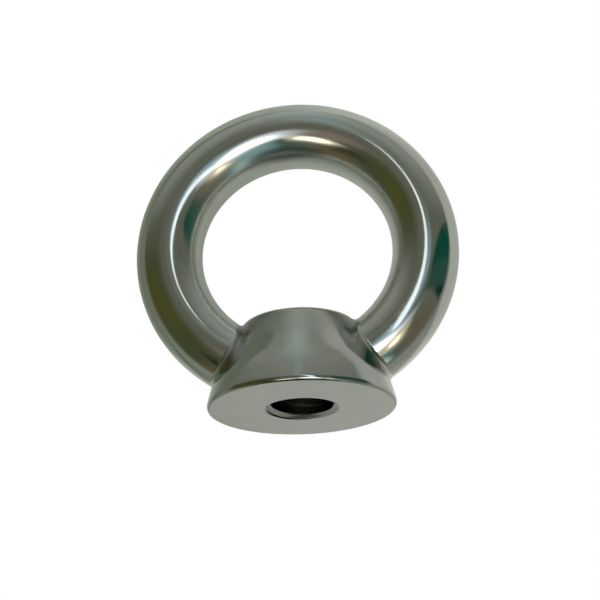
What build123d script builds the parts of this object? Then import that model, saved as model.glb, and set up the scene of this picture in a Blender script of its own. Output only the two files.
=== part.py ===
from build123d import *
from math import radians, tan
import os

# Lifting eye nut: a round ring standing on a conical boss with a tapped hole through it.
# It is forged and polished as one piece. Millimetres, with +Z up along the thread.
# The origin is the centre of the base face, and the ring stands in the XZ plane.

# Ring
ring_outer_diameter = 45.0
ring_section_diameter = 9.2
ring_height_over_base = 0.3

# Boss
base_diameter = 25.5
rim_thickness = 0.65
rim_edge_radius = 0.4
rim_shoulder_radius = 0.6
foot_height = 3.2
foot_angle = 15.0
foot_rounding_reach = 1.8
boss_top_wall = 2.6
boss_rise_in_opening = 2.5
top_edge_radius = 1.5

# Joint of the ring and the boss
blend_radius = 1.0

# Tapped hole, drilled here at the size that its thread is cut from
thread_diameter = 10.0
thread_pitch = 1.5
countersink_angle = 120.0
countersink_clearance = 0.05

ring_path_radius = (ring_outer_diameter - ring_section_diameter) / 2
# The ring's outer circle ends inside the boss, just above the base face.
ring_centre_height = ring_height_over_base + ring_outer_diameter / 2
boss_height = ring_height_over_base + ring_section_diameter + boss_rise_in_opening
boss_top_radius = thread_diameter / 2 + boss_top_wall
tap_drill_radius = (thread_diameter - thread_pitch) / 2
countersink_radius = thread_diameter / 2 + countersink_clearance
countersink_depth = (countersink_radius - tap_drill_radius) / tan(radians(countersink_angle / 2))


def make_boss():
    """Turned form of the boss: a thin rim, a full foot and a straight flank up to a rounded edge."""
    rim_bottom = Vector(base_diameter / 2, 0)
    rim_top = Vector(base_diameter / 2, rim_thickness)
    foot_top = rim_top + Vector(-foot_height * tan(radians(foot_angle)), foot_height)
    top_corner = Vector(boss_top_radius, boss_height)
    foot_turn = (top_corner - foot_top).get_angle(foot_top - rim_top)
    # The foot's rounding ends at the same distance below and above its corner.
    foot_radius = foot_rounding_reach / tan(radians(foot_turn / 2))
    outline = Polyline((0, 0), rim_bottom, rim_top, foot_top, top_corner, (0, boss_height), close=True)
    half_section = make_face(outline)
    rounded_corners = (
        (rim_bottom, rim_edge_radius),
        (rim_top, rim_shoulder_radius),
        (foot_top, foot_radius),
        (top_corner, top_edge_radius),
    )
    for corner, radius in rounded_corners:
        nearest = half_section.vertices().sort_by_distance(corner)[0]
        half_section = fillet(nearest, radius)
    return revolve(Plane.YZ * half_section, Axis.Z)


def make_ring():
    """Round-section ring standing upright, with its hole along Y."""
    ring = Torus(ring_path_radius, ring_section_diameter / 2)
    return Pos(0, 0, ring_centre_height) * Rot(90, 0, 0) * ring


def make_bore():
    """Hole for the thread, with a shallow countersink at each mouth."""
    from_the_bottom = (Align.CENTER, Align.CENTER, Align.MIN)
    drilled = Cylinder(tap_drill_radius, boss_height, align=from_the_bottom)
    lower_mouth = Cone(countersink_radius, tap_drill_radius, countersink_depth, align=from_the_bottom)
    upper_mouth = lower_mouth.mirror(Plane.XY.offset(boss_height / 2))
    return drilled + lower_mouth + upper_mouth


def make_eye_nut():
    """Ring and boss as one solid, blended where they meet, with the hole cut through."""
    boss = make_boss()
    ring = make_ring()
    body = boss + ring
    joint_edges = new_edges(boss, ring, combined=body)
    return fillet(joint_edges, blend_radius) - make_bore()


eye_nut = make_eye_nut()
os.makedirs("parts", exist_ok=True)
export_step(eye_nut, "parts/eye_nut.step")
print(f"volume {eye_nut.volume:.1f} cubic mm, faces {len(eye_nut.faces())}")
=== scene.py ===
import logging
import math
from dataclasses import dataclass
from enum import Enum
from typing import Optional, Union

import bmesh
import bpy
from mathutils import Matrix, Vector


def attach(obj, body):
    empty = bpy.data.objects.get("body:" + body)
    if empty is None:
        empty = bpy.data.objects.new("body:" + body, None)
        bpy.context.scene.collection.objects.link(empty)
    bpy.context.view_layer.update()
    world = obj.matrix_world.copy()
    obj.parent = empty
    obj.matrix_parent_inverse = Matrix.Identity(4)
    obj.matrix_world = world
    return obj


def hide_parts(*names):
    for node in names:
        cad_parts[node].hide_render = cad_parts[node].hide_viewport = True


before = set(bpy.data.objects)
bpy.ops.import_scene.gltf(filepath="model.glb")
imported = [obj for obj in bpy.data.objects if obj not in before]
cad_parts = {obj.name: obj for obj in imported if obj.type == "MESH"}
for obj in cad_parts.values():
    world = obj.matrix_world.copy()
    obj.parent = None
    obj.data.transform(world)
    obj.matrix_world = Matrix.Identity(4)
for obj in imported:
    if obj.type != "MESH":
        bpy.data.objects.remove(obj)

log = logging.getLogger("eye_nut")

MM = 0.001
PHOTO_PIXELS = 600
# Height of the ring's middle over the base face.
RING_MIDDLE = 22.8 * MM
# Watts for each square metre of a lamp, at which its face looks plain white.
WHITE_POWER = 4.0

Socket = bpy.types.NodeSocket
Colour = tuple[float, float, float]
Span = tuple[float, float]
Wire = Union[float, Colour, tuple[float, ...], Socket]
Inputs = dict[Union[str, int], Wire]

WHITE: Colour = (1.0, 1.0, 1.0)


class Output(Enum):
    """The nodes that the tree of a material and of the world end in."""

    MATERIAL = "OutputMaterial"
    WORLD = "OutputWorld"


class Graph:
    """A node tree that is being filled in, with short calls that make a node and join its inputs.

    A Mix node has numbers on inputs 2 and 3 and output 0, and colours on inputs 6 and 7 and output 2.
    """

    def __init__(self, tree: bpy.types.NodeTree) -> None:
        """Empties the tree and keeps it.

        Args:
            tree: The node tree of a material or of the world.
        """
        tree.nodes.clear()
        self.tree = tree

    def join(self, value: Wire, socket: Socket) -> None:
        """Sets an input's own value, or links an output to it.

        Args:
            value: A number, a vector, a colour of three numbers, or another node's output.
            socket: The input.
        """
        if isinstance(value, Socket):
            self.tree.links.new(value, socket)
        elif socket.type == "RGBA":
            socket.default_value = (*value, 1.0)
        else:
            socket.default_value = value

    def add(self, kind: str, inputs: Optional[Inputs] = None, **settings: object) -> bpy.types.Node:
        """Makes a node.

        Args:
            kind: The node's type, without its ShaderNode prefix.
            inputs: Values or output sockets, by the name or number of the input they go to.
            **settings: The node's own properties.

        Returns:
            The new node.
        """
        node = self.tree.nodes.new("ShaderNode" + kind)
        for name, value in settings.items():
            setattr(node, name, value)
        for key, value in (inputs or {}).items():
            self.join(value, node.inputs[key])
        return node

    def place(self) -> Socket:
        """Gives the place on the object, in metres."""
        return self.add("TexCoord").outputs["Object"]

    def axes(self, vector: Wire) -> tuple[Socket, Socket, Socket]:
        """Gives the three parts of a vector."""
        return tuple(self.add("SeparateXYZ", {0: vector}).outputs)

    def math(self, operation: str, first: Wire, second: Wire = 0.0, clamp: bool = False) -> Socket:
        """Makes a Math node and gives its result.

        Args:
            operation: The node's operation.
            first: The first value.
            second: The second value.
            clamp: Whether the result is kept from 0 to 1.

        Returns:
            The result's socket.
        """
        return self.add("Math", {0: first, 1: second}, operation=operation, use_clamp=clamp).outputs[0]

    def length(self, first: Wire, second: Wire) -> Socket:
        """Gives the length of a vector in a plane.

        Args:
            first: One part of the vector.
            second: The other part.

        Returns:
            The length's socket.
        """
        squares = [self.math("MULTIPLY", part, part) for part in (first, second)]
        return self.math("SQRT", self.math("ADD", *squares))

    def ramp(self, value: Wire, limits: tuple[Wire, Wire], results: Span = (0.0, 1.0)) -> Socket:
        """Makes a smooth step.

        Args:
            value: What the step follows.
            limits: Where the step starts and where it ends.
            results: What it gives up to its start, and from its end on.

        Returns:
            The result's socket.
        """
        start, end = limits
        low, high = results
        inputs = {"Value": value, "From Min": start, "From Max": end, "To Min": low, "To Max": high}
        return self.add("MapRange", inputs, interpolation_type="SMOOTHSTEP").outputs["Result"]

    def mix_numbers(self, factor: Wire, first: Wire, second: Wire) -> Socket:
        """Mixes two numbers.

        Args:
            factor: 0 for the first number and 1 for the second.
            first: The first number.
            second: The second number.

        Returns:
            The mixed number's socket.
        """
        return self.add("Mix", {0: factor, 2: first, 3: second}).outputs[0]

    def mix(self, factor: Wire, first: Wire, second: Wire) -> Socket:
        """Mixes two colours.

        Args:
            factor: 0 for the first colour and 1 for the second.
            first: The first colour.
            second: The second colour.

        Returns:
            The mixed colour's socket.
        """
        return self.add("Mix", {0: factor, 6: first, 7: second}, data_type="RGBA").outputs[2]

    def scale(self, colour: Wire, tone: Wire) -> Socket:
        """Makes a colour darker or paler.

        Args:
            colour: The colour.
            tone: What it is multiplied by.

        Returns:
            The new colour's socket.
        """
        return self.add("VectorMath", {0: colour, "Scale": tone}, operation="SCALE").outputs[0]

    def noise(self, vector: Socket, scale: float, detail: float) -> Socket:
        """Makes a noise, from 0 to 1.

        Args:
            vector: Where in the noise a point lies.
            scale: How fine the noise is.
            detail: How many finer noises are laid over it.

        Returns:
            The noise's socket.
        """
        return self.add("TexNoise", {"Vector": vector, "Scale": scale, "Detail": detail}).outputs[0]

    def end(self, output: Output, share: Wire, first: Socket, second: Socket) -> None:
        """Mixes two shaders, and ends the tree in the mix.

        Args:
            output: The node that the tree ends in.
            share: 0 for the first shader and 1 for the second.
            first: The first shader.
            second: The second shader.
        """
        mixed = self.add("MixShader", {0: share, 1: first, 2: second})
        self.add(output.value, {"Surface": mixed.outputs[0]})

    def end_in_paint(self, colour: Wire, glow: Colour, strength: Wire, faded: Socket) -> None:
        """Ends the tree in a matt paint that glows. It is clear from behind, and where it has faded out.

        Args:
            colour: The paint's colour.
            glow: The colour of its glow.
            strength: How strongly it glows.
            faded: 0 where the paint is whole and 1 where it has faded out.
        """
        paint = self.add("BsdfDiffuse", {"Color": colour}).outputs[0]
        light = self.add("Emission", {"Color": glow, "Strength": strength}).outputs[0]
        lit = self.add("AddShader", {0: paint, 1: light}).outputs[0]
        clear = self.add("BsdfTransparent").outputs[0]
        back = self.add("NewGeometry").outputs["Backfacing"]
        self.end(Output.MATERIAL, self.math("MAXIMUM", faded, back), lit, clear)


def new_material(name: str) -> tuple[bpy.types.Material, Graph]:
    """Makes a material that has no nodes yet.

    Args:
        name: The material's name.

    Returns:
        The material, and its node tree to fill in.
    """
    material = bpy.data.materials.new(name)
    material.use_nodes = True
    return material, Graph(material.node_tree)


def new_object(name: str, form: bmesh.types.BMesh) -> bpy.types.Object:
    """Makes an object out of a form, and puts it in the scene.

    Args:
        name: The object's name.
        form: The form, which is freed.

    Returns:
        The object.
    """
    mesh = bpy.data.meshes.new(name)
    form.to_mesh(mesh)
    form.free()
    made = bpy.data.objects.new(name, mesh)
    bpy.context.scene.collection.objects.link(made)
    return made


def show_to_steel_only(piece: bpy.types.Object) -> None:
    """Hides a piece of the studio from the camera and from matt surfaces, and lets it cast no shadow.

    Args:
        piece: The piece of the studio.
    """
    piece.visible_camera = False
    piece.visible_diffuse = False
    piece.visible_shadow = False


def heading(bearing: float, height: float) -> Vector:
    """Gives the direction from the nut to a place in the studio.

    Args:
        bearing: Degrees round to the right, where 0 is straight out in front of the nut, along -Y.
        height: Degrees above the level of the nut.

    Returns:
        A direction of length 1.
    """
    b = math.radians(bearing)
    h = math.radians(height)
    return Vector((math.sin(b) * math.cos(h), -math.cos(b) * math.cos(h), math.sin(h)))


@dataclass(frozen=True)
class PhotoCamera:
    """The camera, in front of the nut and below it, looking up at the base face.

    Its angles are in degrees, its distances in metres, and its lens and sensor in millimetres.
    """

    bearing: float = 3.92
    height: float = -20.84
    roll: float = 1.89
    distance: float = 0.204
    lens: float = 91.27
    sensor: float = 36.0
    base_pixel_x: float = 302.1
    base_pixel_y: float = 409.1
    nearest_seen: float = 0.01
    farthest_seen: float = 10.0

    def view_direction(self) -> Vector:
        """Gives the direction in which the camera looks."""
        return -heading(self.bearing, self.height)

    def build(self) -> bpy.types.Object:
        """Makes the camera, so that the middle of the base face falls on its pixel of the photograph.

        Returns:
            The camera's object.
        """
        forward = self.view_direction()
        level_right = forward.cross(Vector((0, 0, 1))).normalized()
        level_up = level_right.cross(forward)
        roll = math.radians(self.roll)
        right = level_right * math.cos(roll) - level_up * math.sin(roll)
        up = level_right * math.sin(roll) + level_up * math.cos(roll)
        pixels_per_metre = self.lens / self.sensor * PHOTO_PIXELS / self.distance
        aside = (self.base_pixel_x - PHOTO_PIXELS / 2) / pixels_per_metre
        below = (self.base_pixel_y - PHOTO_PIXELS / 2) / pixels_per_metre
        place = -forward * self.distance - right * aside + up * below
        data = bpy.data.cameras.new("photo_camera")
        data.lens = self.lens
        data.sensor_width = self.sensor
        data.clip_start = self.nearest_seen
        data.clip_end = self.farthest_seen
        camera = bpy.data.objects.new("photo_camera", data)
        turn = Matrix((right, up, -forward)).transposed()
        camera.matrix_world = Matrix.Translation(place) @ turn.to_4x4()
        bpy.context.scene.collection.objects.link(camera)
        bpy.context.scene.camera = camera
        return camera


@dataclass(frozen=True)
class Softbox:
    """An oval lamp with an even face, turned to the nut. The camera doesn't see it, but the steel does.

    Its place, spread and tilt are in degrees, and its distance is in metres.
    """

    name: str
    bearing: float
    height: float
    spread: tuple[float, float]
    colour: Colour
    brightness: float
    tilt: float = 0.0
    distance: float = 1.5
    aim_height: float = 22.5 * MM

    def build(self) -> bpy.types.Object:
        """Makes the lamp.

        Returns:
            The lamp's object.
        """
        width, tall = (2 * self.distance * math.tan(math.radians(angle / 2)) for angle in self.spread)
        data = bpy.data.lights.new(self.name, "AREA")
        data.shape = "ELLIPSE"
        data.size = width
        data.size_y = tall
        data.color = self.colour
        area = width * tall * math.pi / 4
        data.energy = self.brightness * area * WHITE_POWER
        lamp = bpy.data.objects.new(self.name, data)
        outward = heading(self.bearing, self.height)
        turn = outward.to_track_quat("Z", "Y").to_matrix()
        tilt = Matrix.Rotation(math.radians(self.tilt), 3, "Z")
        place = outward * self.distance + Vector((0, 0, self.aim_height))
        lamp.matrix_world = Matrix.Translation(place) @ (turn @ tilt).to_4x4()
        lamp.visible_camera = False
        bpy.context.scene.collection.objects.link(lamp)
        return lamp


@dataclass(frozen=True)
class Card:
    """A soft-edged patch of the surroundings that differs from the rest of the room.

    Its place, spread and tilt are in degrees, and its softness is a share of half its spread.
    """

    bearing: float
    height: float
    spread: tuple[float, float]
    colour: Colour
    softness: float = 0.4
    tilt: float = 0.0


@dataclass(frozen=True)
class Room:
    """The surroundings: a pale table behind the nut, a darker room in front, a ceiling and the ground.

    The spans say, in degrees, where each of them begins and where it is whole.
    """

    view: Vector
    front: Colour = (0.17, 0.175, 0.14)
    ceiling: Colour = (0.35, 0.37, 0.335)
    ceiling_heights: Span = (25.0, 55.0)
    table: Colour = (0.36, 0.37, 0.34)
    table_bearings: Span = (80.0, 108.0)
    ground: Colour = (0.025, 0.045, 0.025)
    ground_heights: Span = (-54.0, -65.0)
    white_angles: Span = (36.0, 8.0)
    cards: tuple[Card, ...] = (
        # The dark left side of the room, with an olive band, a brown patch and a nearly black one.
        Card(-62, -6, (72, 66), (0.08, 0.095, 0.045), 0.4),
        Card(-62, 4, (60, 22), (0.1, 0.1, 0.03), 0.6),
        Card(-70, -50, (60, 24), (0.17, 0.115, 0.05), 0.5),
        Card(-40, -34, (20, 26), (0.03, 0.03, 0.01), 0.5),
        # The right side, and the teal things low in front of the nut.
        Card(62, -22, (50, 24), (0.17, 0.155, 0.11), 0.4),
        Card(28, -58, (90, 40), (0.03, 0.085, 0.07), 0.4),
        Card(28, -40, (44, 32), (0.26, 0.43, 0.46), 0.6),
        Card(65, -48, (34, 12), (0.6, 0.87, 0.83), 0.6, -8),
        # Patches straight in front of the nut and over it.
        Card(14, 8, (13, 30), (0.36, 0.5, 0.62), 0.6),
        Card(-14, -10, (16, 26), (0.3, 0.23, 0.2), 0.6),
        Card(0, 50, (11, 40), (0.36, 0.43, 0.42), 0.7),
        Card(-4, 74, (60, 26), (0.48, 0.56, 0.54), 0.9),
        # The glow round the main window, the warm lamp and the side lamp, and a dark strip below them.
        Card(14, -15, (36, 28), (1.1, 1.2, 1.3), 0.4),
        Card(-16, -30, (26, 18), (1.0, 0.9, 0.65), 0.4),
        Card(38, -21, (13, 23), (0.95, 0.78, 0.55), 0.5, 35),
        Card(3, -45, (6, 34), (0.03, 0.075, 0.06), 0.4),
    )

    def build(self) -> bpy.types.World:
        """Makes the world. It is white to the camera, and the steel sees the same white right behind it.

        Returns:
            The world.
        """
        world = bpy.data.worlds.new("room")
        world.use_nodes = True
        graph = Graph(world.node_tree)
        direction = graph.add("TexCoord").outputs["Generated"]
        x, y, z = graph.axes(direction)
        height = graph.math("DEGREES", graph.math("ARCSINE", z))
        bearing = graph.math("DEGREES", graph.math("ARCTAN2", x, graph.math("MULTIPLY", y, -1.0)))
        spot = graph.add("CombineXYZ", {0: bearing, 1: height}).outputs[0]
        colour = graph.mix(graph.ramp(height, self.ceiling_heights), self.front, self.ceiling)
        for card in self.cards:
            colour = graph.mix(self.cover(graph, spot, card), colour, card.colour)
        aside = graph.math("ABSOLUTE", bearing)
        colour = graph.mix(graph.ramp(aside, self.table_bearings), colour, self.table)
        colour = graph.mix(graph.ramp(height, self.ground_heights), colour, self.ground)
        room = graph.add("Background", {"Color": colour, "Strength": 1.0}).outputs[0]
        white = graph.add("Background", {"Color": WHITE, "Strength": 1.0}).outputs[0]
        graph.end(Output.WORLD, self.white_share(graph, direction), room, white)
        bpy.context.scene.world = world
        return world

    def cover(self, graph: Graph, spot: Socket, card: Card) -> Socket:
        """Gives how far a card covers the room.

        Args:
            graph: The world's nodes.
            spot: The bearing and height of the place that is looked at.
            card: The card.

        Returns:
            The share's socket, from 0 to 1.
        """
        inputs = {
            "Vector": spot,
            "Location": (card.bearing, card.height, 0.0),
            "Rotation": (0.0, 0.0, math.radians(card.tilt)),
            "Scale": (card.spread[0] / 2, card.spread[1] / 2, 1.0),
        }
        local = graph.add("Mapping", inputs, vector_type="TEXTURE").outputs[0]
        local = graph.add("VectorMath", {0: local}, operation="ABSOLUTE").outputs[0]
        across, upright, _ = graph.axes(local)
        edge = (1 + card.softness, 1 - card.softness)
        return graph.math("MULTIPLY", graph.ramp(across, edge), graph.ramp(upright, edge))

    def white_share(self, graph: Graph, direction: Socket) -> Socket:
        """Gives where the world is white: all of it to the camera, and a part behind the nut to the steel.

        Args:
            graph: The world's nodes.
            direction: The direction that is looked in.

        Returns:
            The share's socket, from 0 to 1.
        """
        path = graph.add("LightPath").outputs
        along = graph.add("VectorMath", {0: direction, 1: tuple(self.view)}, operation="DOT_PRODUCT")
        limits = tuple(math.cos(math.radians(angle)) for angle in self.white_angles)
        behind = graph.ramp(along.outputs["Value"], limits)
        bounced = graph.math("ADD", path["Is Glossy Ray"], path["Is Transmission Ray"], clamp=True)
        return graph.math("ADD", path["Is Camera Ray"], graph.math("MULTIPLY", bounced, behind), clamp=True)


@dataclass(frozen=True)
class StudioFloor:
    """A round pale floor under the nut, which fades out far from it and is clear from below."""

    radius: float = 1.2
    sides: int = 96
    gap: float = 0.1 * MM
    fade: Span = (0.2, 0.9)
    colour: Colour = (0.82, 0.82, 0.81)
    glow: float = 0.62

    def build(self) -> bpy.types.Object:
        """Makes the floor.

        Returns:
            The floor's object.
        """
        form = bmesh.new()
        bmesh.ops.create_circle(form, cap_ends=True, segments=self.sides, radius=self.radius)
        bmesh.ops.translate(form, vec=(0, 0, -self.gap), verts=form.verts)
        bmesh.ops.recalc_face_normals(form, faces=form.faces)
        for face in form.faces:
            if face.normal.z < 0:
                face.normal_flip()
        floor = new_object("studio_floor", form)
        floor.data.materials.append(self.finish())
        floor.visible_glossy = False
        floor.visible_transmission = False
        floor.visible_shadow = False
        return floor

    def finish(self) -> bpy.types.Material:
        """Makes the floor's pale paint.

        Returns:
            The material.
        """
        material, graph = new_material("floor_paint")
        reach = graph.add("VectorMath", {0: graph.place()}, operation="LENGTH").outputs["Value"]
        graph.end_in_paint(self.colour, WHITE, self.glow, graph.ramp(reach, self.fade))
        return material


@dataclass(frozen=True)
class TableCard:
    """A pale card that leans close behind the nut and stands for the table. Only the steel sees it.

    The spans are places across the card, heights, and distances from the middle of the card or of its
    painted pool of light. What a span is for begins at its first value and is whole at its second.
    """

    size: float = 0.6
    rim_reach: float = 13.5 * MM
    lean: float = 12.0
    # Painted shade: the left of the card is darker than its right.
    shaded_left_colour: Colour = (0.42, 0.45, 0.4)
    right_colour: Colour = (0.7, 0.71, 0.69)
    side_places: Span = (-16.0 * MM, 16.0 * MM)
    # Painted light and shade far out on the left: paler low down, darker higher up.
    lit_far_low_colour: Colour = (0.6, 0.66, 0.56)
    shaded_far_high_colour: Colour = (0.28, 0.32, 0.25)
    far_heights: Span = (-22.0 * MM, 8.0 * MM)
    far_places: Span = (-26.0 * MM, -42.0 * MM)
    # Painted light: a pale pool low on the card, below the nut.
    painted_light_colour: Colour = (0.95, 0.95, 0.93)
    painted_light_middle: tuple[float, float, float] = (4.0 * MM, 0.0, -20.0 * MM)
    painted_light_reach: Span = (50.0 * MM, 16.0 * MM)
    # Painted light: a faint glow that lifts the card where the nut's shadow falls on it, right behind the
    # nut.
    glow: Colour = (0.12, 0.122, 0.116)
    glow_reach: Span = (28.0 * MM, 19.6 * MM)
    glow_heights: Span = (0.0, 6.0 * MM)
    fade_reach: Span = (60.0 * MM, 190.0 * MM)

    def build(self) -> bpy.types.Object:
        """Makes the card.

        Returns:
            The card's object.
        """
        form = bmesh.new()
        bmesh.ops.create_grid(form, x_segments=1, y_segments=1, size=self.size / 2)
        upright = Matrix.Rotation(math.radians(90 + self.lean), 4, "X")
        place = Matrix.Translation((0, self.rim_reach, 0))
        bmesh.ops.transform(form, matrix=place @ upright, verts=form.verts)
        card = new_object("table_card", form)
        card.data.materials.append(self.finish())
        show_to_steel_only(card)
        return card

    def finish(self) -> bpy.types.Material:
        """Makes the card's pale paint, with painted shade on its left and high on its far left, a painted
        pool of light low on it, and a faint painted glow behind the nut, in the nut's shadow.

        Returns:
            The material.
        """
        material, graph = new_material("table_paint")
        x, _, z = graph.axes(graph.place())
        aside = graph.math("ABSOLUTE", x)
        # Painted shade on the left, and painted light and shade far out on the left.
        near = graph.mix(graph.ramp(x, self.side_places), self.shaded_left_colour, self.right_colour)
        far = graph.mix(graph.ramp(z, self.far_heights), self.lit_far_low_colour, self.shaded_far_high_colour)
        colour = graph.mix(graph.ramp(x, self.far_places), near, far)
        spot = graph.add("CombineXYZ", {0: x, 2: z}).outputs[0]
        # Painted light: the pool of light low on the card.
        away = graph.add("VectorMath", {0: spot, 1: self.painted_light_middle}, operation="DISTANCE")
        light_pool = graph.ramp(away.outputs["Value"], self.painted_light_reach)
        colour = graph.mix(light_pool, colour, self.painted_light_colour)
        # Painted light: the glow behind the nut, in its shadow.
        glowing = graph.ramp(aside, self.glow_reach)
        strength = graph.math("MULTIPLY", glowing, graph.ramp(z, self.glow_heights))
        graph.end_in_paint(colour, self.glow, strength, graph.ramp(aside, self.fade_reach))
        return material


@dataclass(frozen=True)
class Band:
    """A darker band that lies across the dark panel and fades out above and below its middle."""

    middle: float
    reach: Span
    colour: Colour


@dataclass(frozen=True)
class DarkPanel:
    """A dark wedge-shaped panel close on the right of the nut. Only the steel sees it."""

    middle: tuple[float, float, float] = (95.0 * MM, -55.0 * MM, 39.0 * MM)
    turn: float = 54.0
    width: float = 116.0 * MM
    narrow_end: float = 18.0 * MM
    wide_end: float = 90.0 * MM
    soft_side: float = 26.0 * MM
    solid_share: float = 0.88
    colour: Colour = (0.035, 0.1, 0.078)
    bands: tuple[Band, ...] = (
        Band(14.0 * MM, (16.9 * MM, 9.1 * MM), (0.004, 0.08, 0.055)),
        Band(-29.0 * MM, (5.85 * MM, 3.15 * MM), (0.006, 0.035, 0.025)),
    )

    def build(self) -> bpy.types.Object:
        """Makes the panel.

        Returns:
            The panel's object.
        """
        form = bmesh.new()
        bmesh.ops.create_grid(form, x_segments=1, y_segments=1, size=0.5)
        bmesh.ops.scale(form, vec=(self.width, self.wide_end, 1), verts=form.verts)
        panel = new_object("dark_panel", form)
        panel.data.materials.append(self.finish())
        upright = Matrix.Rotation(math.radians(90), 4, "X")
        aside = Matrix.Rotation(math.radians(self.turn), 4, "Z")
        panel.matrix_world = Matrix.Translation(self.middle) @ aside @ upright
        show_to_steel_only(panel)
        return panel

    def finish(self) -> bpy.types.Material:
        """Makes the panel's dim glow. It is clear outside the wedge, whose edges are soft.

        Returns:
            The material.
        """
        material, graph = new_material("panel_glow")
        x, y, _ = graph.axes(graph.place())
        colour = self.colour
        for band in self.bands:
            away = graph.math("ABSOLUTE", graph.math("SUBTRACT", y, band.middle))
            colour = graph.mix(graph.ramp(away, band.reach), colour, band.colour)
        left = -self.width / 2
        along = graph.math("DIVIDE", graph.math("SUBTRACT", x, left), self.width)
        growth = graph.math("MULTIPLY", along, (self.wide_end - self.narrow_end) / 2)
        half = graph.math("ADD", growth, self.narrow_end / 2)
        solid_half = graph.math("MULTIPLY", half, self.solid_share)
        upright = graph.ramp(graph.math("ABSOLUTE", y), (half, solid_half))
        across = graph.ramp(x, (left, left + self.soft_side))
        glow = graph.add("Emission", {"Color": colour, "Strength": 1.0}).outputs[0]
        clear = graph.add("BsdfTransparent").outputs[0]
        graph.end(Output.MATERIAL, graph.math("MULTIPLY", across, upright), clear, glow)
        return material


@dataclass(frozen=True)
class SteelSpot:
    """Where on the nut a point lies. The last three are 1 on the base face, boss or bore, and else 0."""

    place: Socket
    x: Socket
    y: Socket
    z: Socket
    over_ring_middle: Socket
    ring_reach: Socket
    boss_reach: Socket
    on_base: Socket
    on_boss: Socket
    in_bore: Socket


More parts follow.
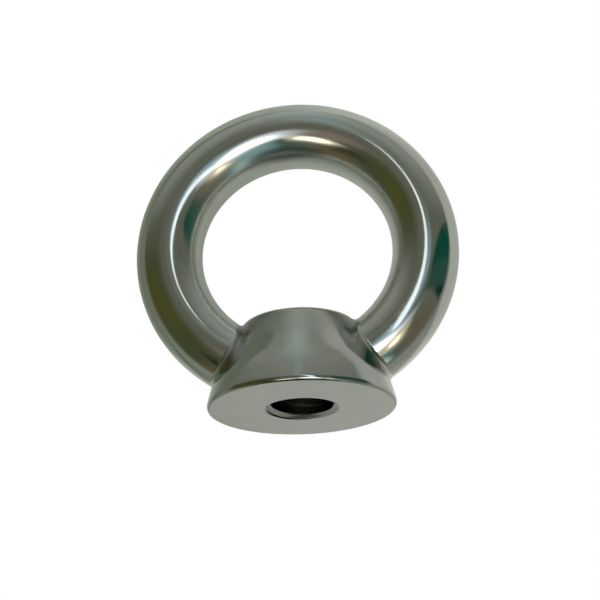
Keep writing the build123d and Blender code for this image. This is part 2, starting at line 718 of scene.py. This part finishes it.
@dataclass(frozen=True)
class PolishedSteel:
    """Stainless steel, polished all over but for the base face, which is ground to a satin finish.

    The inside of the ring is less bright, and the bore is rougher. Painted shade darkens the boss, and the
    bore more.
    """

    colour: Colour = (0.56, 0.57, 0.53)
    satin_colour: Colour = (0.7, 0.69, 0.67)
    # Painted shade: the boss is darkened to this share of the steel's colour, and the bore to the next.
    boss_shade_tone: float = 0.84
    bore_shade_tone: float = 0.64
    roughness: Span = (0.06375, 0.1105)
    mark_roughness: float = 0.05
    satin_roughness: float = 0.36
    inside_roughness: float = 0.26
    satin_heights: Span = (0.03 * MM, 0.0)
    ring_middle: float = RING_MIDDLE
    inside_reach: Span = (16.0 * MM, 14.4 * MM)
    boss_slope: float = 0.47
    boss_reach: Span = (14.1 * MM, 13.8 * MM)
    bore_reach: float = 5.045 * MM
    bore_top: float = 12.5 * MM
    cloud_scale: float = 260.0
    cloud_detail: float = 3.0
    cloud_limits: Span = (0.3, 0.7)
    cloud_tones: Span = (0.97, 1.02)
    turned_scale: float = 3500.0
    base_scale: float = 3000.0
    grain_detail: float = 4.0
    ring_stretch: float = 0.6 * MM
    boss_stretch: float = 0.5 * MM
    base_stretch: float = 0.05
    grain_limits: Span = (0.3, 0.7)
    grain_tones: Span = (1.02, 0.97)
    mark_limits: Span = (0.45, 0.8)
    grain_depth: float = 0.006 * MM
    bore_extra_depth: float = 12.0
    bump_strength: float = 0.5

    def make(self) -> bpy.types.Material:
        """Makes the material.

        Returns:
            The material.
        """
        material, graph = new_material("polished_steel")
        spot = self.find(graph)
        cloud = graph.noise(spot.place, self.cloud_scale, self.cloud_detail)
        grain = self.grain(graph, spot)
        deeper = graph.math("ADD", 1.0, graph.math("MULTIPLY", spot.in_bore, self.bore_extra_depth))
        depth = graph.math("MULTIPLY", deeper, self.grain_depth)
        bump = graph.add("Bump", {"Height": grain, "Distance": depth, "Strength": self.bump_strength})
        inputs = {
            "Base Color": self.shade(graph, spot, cloud, grain),
            "Metallic": 1.0,
            "Roughness": self.gloss(graph, spot, cloud, grain),
            "Normal": bump.outputs[0],
        }
        steel = graph.add("BsdfPrincipled", inputs)
        graph.add(Output.MATERIAL.value, {"Surface": steel.outputs[0]})
        return material

    def find(self, graph: Graph) -> SteelSpot:
        """Finds where on the nut a point lies.

        Args:
            graph: The material's nodes.

        Returns:
            The sockets that say it.
        """
        place = graph.place()
        x, y, z = graph.axes(place)
        over_ring_middle = graph.math("SUBTRACT", z, self.ring_middle)
        boss_reach = graph.length(x, y)
        slanted = graph.math("ADD", boss_reach, graph.math("MULTIPLY", z, self.boss_slope))
        near_axis = graph.math("LESS_THAN", boss_reach, self.bore_reach)
        return SteelSpot(
            place=place,
            x=x,
            y=y,
            z=z,
            over_ring_middle=over_ring_middle,
            ring_reach=graph.length(x, over_ring_middle),
            boss_reach=boss_reach,
            on_base=graph.ramp(z, self.satin_heights),
            on_boss=graph.ramp(slanted, self.boss_reach),
            in_bore=graph.math("MULTIPLY", near_axis, graph.math("LESS_THAN", z, self.bore_top)),
        )

    def shade(self, graph: Graph, spot: SteelSpot, cloud: Socket, grain: Socket) -> Socket:
        """Makes the steel's colour, which is a little uneven, with painted shade that darkens the boss and,
        more, the bore.

        Args:
            graph: The material's nodes.
            spot: Where on the nut the point lies.
            cloud: The soft clouds of the polish, from 0 to 1.
            grain: The polishing marks, from 0 to 1.

        Returns:
            The colour's socket.
        """
        # Painted shade that darkens the boss, and the bore more.
        on_boss = graph.math("MULTIPLY", spot.on_boss, self.boss_shade_tone - 1)
        in_bore = graph.math("MULTIPLY", spot.in_bore, self.bore_shade_tone - self.boss_shade_tone)
        tone = graph.math("ADD", graph.math("ADD", 1.0, on_boss), in_bore)
        colour = graph.mix(spot.on_base, graph.scale(self.colour, tone), self.satin_colour)
        clouded = graph.ramp(cloud, self.cloud_limits, self.cloud_tones)
        marked = graph.ramp(grain, self.grain_limits, self.grain_tones)
        return graph.scale(colour, graph.math("MULTIPLY", clouded, marked))

    def gloss(self, graph: Graph, spot: SteelSpot, cloud: Socket, grain: Socket) -> Socket:
        """Makes the steel's roughness.

        Args:
            graph: The material's nodes.
            spot: Where on the nut the point lies.
            cloud: The soft clouds of the polish, from 0 to 1.
            grain: The polishing marks, from 0 to 1.

        Returns:
            The roughness's socket.
        """
        clouded = graph.ramp(cloud, self.cloud_limits, self.roughness)
        marked = graph.ramp(grain, self.mark_limits, (0.0, self.mark_roughness))
        inside = graph.ramp(spot.ring_reach, self.inside_reach)
        polished = graph.mix_numbers(inside, graph.math("ADD", clouded, marked), self.inside_roughness)
        return graph.mix_numbers(spot.on_base, polished, self.satin_roughness)

    def grain(self, graph: Graph, spot: SteelSpot) -> Socket:
        """Makes the polishing marks: along the ring, round the boss, and straight over the base face.

        Args:
            graph: The material's nodes.
            spot: Where on the nut the point lies.

        Returns:
            The marks' socket, from 0 to 1.
        """
        ring_turn = graph.math("ARCTAN2", spot.x, spot.over_ring_middle)
        boss_turn = graph.math("ARCTAN2", spot.x, spot.y)
        along_ring = graph.math("MULTIPLY", ring_turn, self.ring_stretch)
        along_boss = graph.math("MULTIPLY", boss_turn, self.boss_stretch)
        along_base = graph.math("MULTIPLY", spot.x, self.base_stretch)
        ring = self.marks(graph, (along_ring, spot.ring_reach, spot.y), self.turned_scale)
        boss = self.marks(graph, (along_boss, spot.boss_reach, spot.z), self.turned_scale)
        base = self.marks(graph, (along_base, spot.y, 0.0), self.base_scale)
        turned = graph.mix_numbers(spot.on_boss, ring, boss)
        return graph.mix_numbers(spot.on_base, turned, base)

    def marks(self, graph: Graph, spot: tuple[Wire, Wire, Wire], scale: float) -> Socket:
        """Makes a noise that is drawn out along the first of three directions.

        Args:
            graph: The material's nodes.
            spot: Place along each direction, in metres.
            scale: How fine the noise is.

        Returns:
            The noise's socket.
        """
        vector = graph.add("CombineXYZ", dict(enumerate(spot))).outputs[0]
        return graph.noise(vector, scale, self.grain_detail)


@dataclass(frozen=True)
class Thread:
    """The coarse metric thread that is cut into the drilled hole. Its angles are in degrees."""

    pitch: float = 1.5 * MM
    root_radius: float = 5.0 * MM
    inner_radius: float = 4.0 * MM
    root_flat: float = 0.1875 * MM
    flank_angle: float = 30.0
    start: float = -1.4 * MM
    start_turn: float = 124.0
    turns: int = 10
    steps_per_turn: int = 60

    def cutter(self) -> bpy.types.Object:
        """Makes the helical ridge that the groove is cut with.

        Returns:
            The cutter's object.
        """
        widen = (self.root_radius - self.inner_radius) * math.tan(math.radians(self.flank_angle))
        outer_half = self.root_flat / 2
        inner_half = outer_half + widen
        corners = (
            (self.root_radius, outer_half),
            (self.root_radius, -outer_half),
            (self.inner_radius, -inner_half),
            (self.inner_radius, inner_half),
        )
        form = bmesh.new()
        bmesh.ops.create_circle(form, cap_ends=True, segments=len(corners), radius=self.root_flat)
        for vertex, (reach, height) in zip(form.verts, corners):
            vertex.co = (reach, 0, self.start + height)
        turn = Matrix.Rotation(math.radians(self.start_turn), 3, "Z")
        bmesh.ops.rotate(form, matrix=turn, verts=form.verts)
        bmesh.ops.spin(
            form,
            geom=form.verts[:] + form.edges[:] + form.faces[:],
            axis=(0, 0, 1),
            dvec=(0, 0, self.pitch / self.steps_per_turn),
            angle=math.tau * self.turns,
            steps=self.turns * self.steps_per_turn,
        )
        bmesh.ops.holes_fill(form, edges=form.edges, sides=len(corners))
        bmesh.ops.recalc_face_normals(form, faces=form.faces)
        return new_object("thread_cutter", form)

    def cut(self, piece: bpy.types.Object) -> None:
        """Cuts the thread into a piece.

        Args:
            piece: The piece, with its hole along Z.
        """
        cutter = self.cutter()
        groove = piece.modifiers.new("thread", "BOOLEAN")
        groove.operation = "DIFFERENCE"
        groove.solver = "EXACT"
        groove.object = cutter
        view = bpy.context.evaluated_depsgraph_get()
        threaded = bpy.data.meshes.new_from_object(piece.evaluated_get(view))
        piece.modifiers.clear()
        plain = piece.data
        piece.data = threaded
        cutter_mesh = cutter.data
        bpy.data.objects.remove(cutter)
        for mesh in (plain, cutter_mesh):
            bpy.data.meshes.remove(mesh)


@dataclass(frozen=True)
class EyeNut:
    """The lifting eye nut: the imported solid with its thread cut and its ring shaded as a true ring."""

    node: str = "eye_nut"
    merge_distance: float = 0.0001 * MM
    crease_angle: float = 28.0
    ring_middle: float = RING_MIDDLE
    ring_radius: float = 17.9 * MM
    section_radius: float = 4.6 * MM
    ring_tolerance: float = 0.03 * MM
    least_agreement: float = 0.97
    thread: Thread = Thread()
    finish: PolishedSteel = PolishedSteel()

    def build(self) -> bpy.types.Object:
        """Makes the nut as it is seen.

        Returns:
            The nut's object.
        """
        nut = new_object("threaded_eye_nut", self.merged_copy(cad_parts[self.node]))
        self.thread.cut(nut)
        self.smooth(nut.data)
        nut.data.materials.clear()
        nut.data.materials.append(self.finish.make())
        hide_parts(self.node)
        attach(nut, "root")
        return nut

    def merged_copy(self, solid: bpy.types.Object) -> bmesh.types.BMesh:
        """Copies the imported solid's mesh and joins its loose triangles.

        Args:
            solid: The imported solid's object.

        Returns:
            The joined form, in the shared frame.
        """
        form = bmesh.new()
        form.from_mesh(solid.data)
        form.transform(solid.matrix_world)
        bmesh.ops.remove_doubles(form, verts=form.verts, dist=self.merge_distance)
        return form

    def smooth(self, mesh: bpy.types.Mesh) -> None:
        """Shades the mesh smooth but for its sharp edges, and gives the ring the normals of a true ring.

        Args:
            mesh: The nut's mesh.
        """
        if "custom_normal" in mesh.attributes:
            mesh.attributes.remove(mesh.attributes["custom_normal"])
        mesh.shade_smooth()
        mesh.set_sharp_from_angle(angle=math.radians(self.crease_angle))
        normals = [Vector(corner.vector) for corner in mesh.corner_normals]
        middle = Vector((0, 0, self.ring_middle))
        for polygon in mesh.polygons:
            for corner in polygon.loop_indices:
                spot = mesh.vertices[mesh.loops[corner].vertex_index].co
                flat = Vector((spot.x, 0, spot.z - self.ring_middle))
                outward = spot - (middle + flat.normalized() * self.ring_radius)
                on_ring = abs(outward.length - self.section_radius) < self.ring_tolerance
                if on_ring and outward.normalized().dot(polygon.normal) > self.least_agreement:
                    normals[corner] = outward.normalized()
        mesh.normals_split_custom_set([tuple(normal) for normal in normals])


SOFTBOXES = (
    Softbox("main_window", 15.0, -15.0, (25.0, 20.0), (0.93, 0.98, 1.0), 2.6),
    Softbox("warm_lamp", -16.0, -30.0, (18.0, 12.0), (1.0, 0.93, 0.72), 1.8),
    Softbox("side_lamp", 38.0, -21.0, (6.0, 14.0), (1.0, 0.84, 0.6), 1.4, 35.0),
    Softbox("near_lamp", 13.0, 14.0, (7.0, 38.0), (0.88, 0.96, 1.0), 1.1, 26.0, 0.17),
)


def main() -> None:
    """Builds the studio and the nut, and reports each piece."""
    logging.basicConfig(level=logging.INFO, format="%(name)s: %(message)s")
    scene = bpy.context.scene
    scene.view_settings.view_transform = "Standard"
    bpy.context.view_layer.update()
    camera = PhotoCamera()
    camera.build()
    Room(view=camera.view_direction()).build()
    for softbox in SOFTBOXES:
        softbox.build()
        log.info("lamp %s", softbox.name)
    floor = StudioFloor().build()
    card = TableCard().build()
    panel = DarkPanel().build()
    for studio_piece in (floor, card, panel):
        log.info("studio piece %s", studio_piece.name)
    nut = EyeNut().build()
    log.info("piece %s: %d faces", nut.name, len(nut.data.polygons))


if __name__ == "__main__":
    main()
